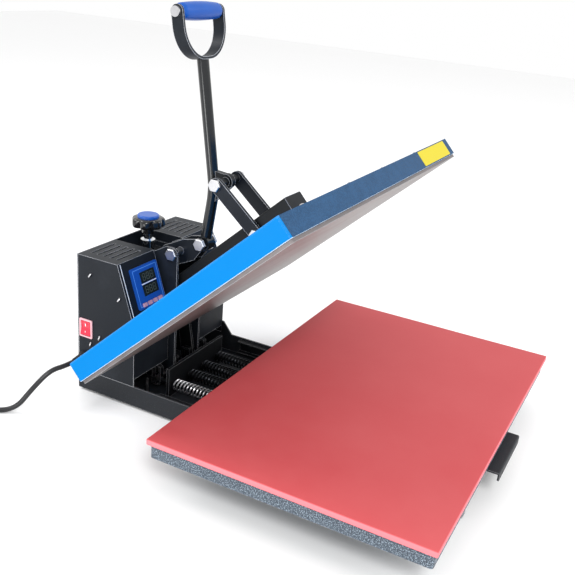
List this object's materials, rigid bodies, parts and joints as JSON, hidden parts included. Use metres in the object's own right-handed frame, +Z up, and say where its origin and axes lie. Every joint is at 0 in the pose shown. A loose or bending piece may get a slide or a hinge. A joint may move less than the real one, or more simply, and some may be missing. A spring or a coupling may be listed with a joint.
{
  "type": "heat press",
  "caption": "Clamshell heat press with a tilting heated upper platen, a padded slide-out lower platen, a toggle handle and a control box.",
  "frame": {"origin": "on the surface it stands on, under the middle of its width and of its whole length at rest, with the lower platen pulled out and without the mains lead", "axes": "+X to the operator's right, +Y away from the operator, +Z up"},
  "size_m": [0.7542, 0.7911, 0.6165],
  "materials": {
    "black_coat": "semi-gloss black powder coat",
    "speckled_coat": "speckled black powder coat",
    "blue_coat": "bright blue powder coat",
    "rubber_black": "matt black",
    "silicone_red": "matt muted red silicone",
    "steel": "zinc-plated",
    "spring_steel": "bright spring steel",
    "chrome": "polished",
    "plate_aluminium": "coated grey",
    "blanket": "fibre blanket",
    "black_plastic": "matt moulded",
    "blue_plastic": "gloss blue",
    "dark_window": "dark display window",
    "board_green": "circuit board",
    "grey_plastic": "moulded",
    "red_plastic": "gloss red",
    "pale_pink_plastic": "gloss",
    "yellow_plate": "satin yellow, blank",
    "brass_pins": "bright",
    "cord_black": "satin black jacket"
  },
  "bodies": {
    "frame": {"base_tray": "black_coat", "rubber_feet": "rubber_black", "slide_channels": "steel", "left_tower": "black_coat", "right_tower": "black_coat", "rear_panel": "black_coat", "tower_floors": "black_coat", "display_panel": "blue_plastic", "display_windows": "dark_window", "circuit_board": "board_green", "solid_state_relay": "black_plastic", "terminal_block": "grey_plastic", "switch_frame": "pale_pink_plastic", "cord_gland": "black_plastic", "side_screws": "steel", "uprights": "black_coat", "pressure_bridge": "black_coat", "hinge_shaft": "steel", "rocker_arms": "black_coat", "rocker_bolt": "steel", "lever_bolt": "steel", "spring_wall": "black_coat", "stop_pin": "steel", "lift_springs": "spring_steel", "power_cord": "cord_black", "cord_coil": "cord_black", "plug_body": "black_plastic", "plug_pins": "brass_pins"},
    "knob": {"pressure_screw": "chrome", "pressure_knob": "black_plastic", "knob_cap": "blue_plastic"},
    "upper": {"platen_cover": "blue_coat", "heating_plate": "plate_aluminium", "heating_element": "steel", "insulation_blanket": "blanket", "arm_beam": "black_coat", "tail_plates": "black_coat", "lift_bar": "steel", "link_bolt": "steel", "blank_plate": "yellow_plate", "cover_screws": "steel"},
    "links": {"toggle_links": "black_coat", "link_caps": "steel"},
    "handle": {"lever": "black_coat", "lever_lug": "black_coat", "fork": "black_coat", "grip_axle": "steel"},
    "grip_sleeve": {"grip": "blue_plastic"},
    "pull_rods": {"drawbars": "steel"},
    "drawer": {"lower_platen": "speckled_coat", "silicone_pad": "silicone_red", "drawer_pull": "black_coat", "slide_runners": "steel", "carriage_frame": "black_coat"},
    "switch_rocker": {"switch_key": "red_plastic"},
    "button_1": {"panel_button_1": "pale_pink_plastic"},
    "button_2": {"panel_button_2": "pale_pink_plastic"},
    "button_3": {"panel_button_3": "pale_pink_plastic"},
    "button_4": {"panel_button_4": "pale_pink_plastic"}
  },
  "joints": [
    {"name": "platen_hinge", "type": "hinge", "parent": "frame", "child": "upper", "pos_m": [0, 0.2495, 0.141], "axis": [1, 0, 0], "range_deg": [0, 42.5], "stiffness_Nm_per_rad": 13.5, "springref_deg": -152.98},
    {"name": "handle_swing", "type": "hinge", "parent": "frame", "child": "handle", "pos_m": [0, 0.1875, 0.254], "axis": [1, 0, 0], "range_deg": [0, 93.58]},
    {"name": "link_swing", "type": "hinge", "parent": "upper", "child": "links", "pos_m": [0, 0.07771, 0.29841], "axis": [1, 0, 0], "range_deg": [-34.98, 0]},
    {"name": "spring_slide", "type": "slide", "parent": "frame", "child": "pull_rods", "axis": [0, 1, 0], "range_m": [0, 0.08414], "deforming": ["lift_springs"]},
    {"name": "drawer_slide", "type": "slide", "parent": "frame", "child": "drawer", "axis": [0, 1, 0], "range_m": [0, 0.135]},
    {"name": "knob_turn", "type": "hinge", "parent": "frame", "child": "knob", "pos_m": [0, 0.2995, 0.246], "axis": [0, 0, 1], "range_deg": [-720, 720]},
    {"name": "grip_spin", "type": "hinge", "parent": "handle", "child": "grip_sleeve", "pos_m": [0, 0.21664, 0.603], "axis": [1, 0, 0], "continuous": true},
    {"name": "switch_rock", "type": "hinge", "parent": "frame", "child": "switch_rocker", "pos_m": [-0.125, 0.3195, 0.114], "axis": [0, -1, 0], "range_deg": [0, 14]},
    {"name": "button_press_1", "type": "slide", "parent": "frame", "child": "button_1", "axis": [0, 0.9457, -0.3251], "range_m": [0, 0.0012], "stiffness_N_per_m": 400, "springref_m": -0.0003},
    {"name": "button_press_2", "type": "slide", "parent": "frame", "child": "button_2", "axis": [0, 0.9457, -0.3251], "range_m": [0, 0.0012], "stiffness_N_per_m": 400, "springref_m": -0.0003},
    {"name": "button_press_3", "type": "slide", "parent": "frame", "child": "button_3", "axis": [0, 0.9457, -0.3251], "range_m": [0, 0.0012], "stiffness_N_per_m": 400, "springref_m": -0.0003},
    {"name": "button_press_4", "type": "slide", "parent": "frame", "child": "button_4", "axis": [0, 0.9457, -0.3251], "range_m": [0, 0.0012], "stiffness_N_per_m": 400, "springref_m": -0.0003}
  ],
  "couplings": [
    {"joint": "handle_swing", "follows": "platen_hinge", "ratio": 2.2016},
    {"joint": "link_swing", "follows": "platen_hinge", "ratio": -0.82292},
    {"joint": "spring_slide", "follows": "platen_hinge", "m_per_rad": 0.11336}
  ]
}
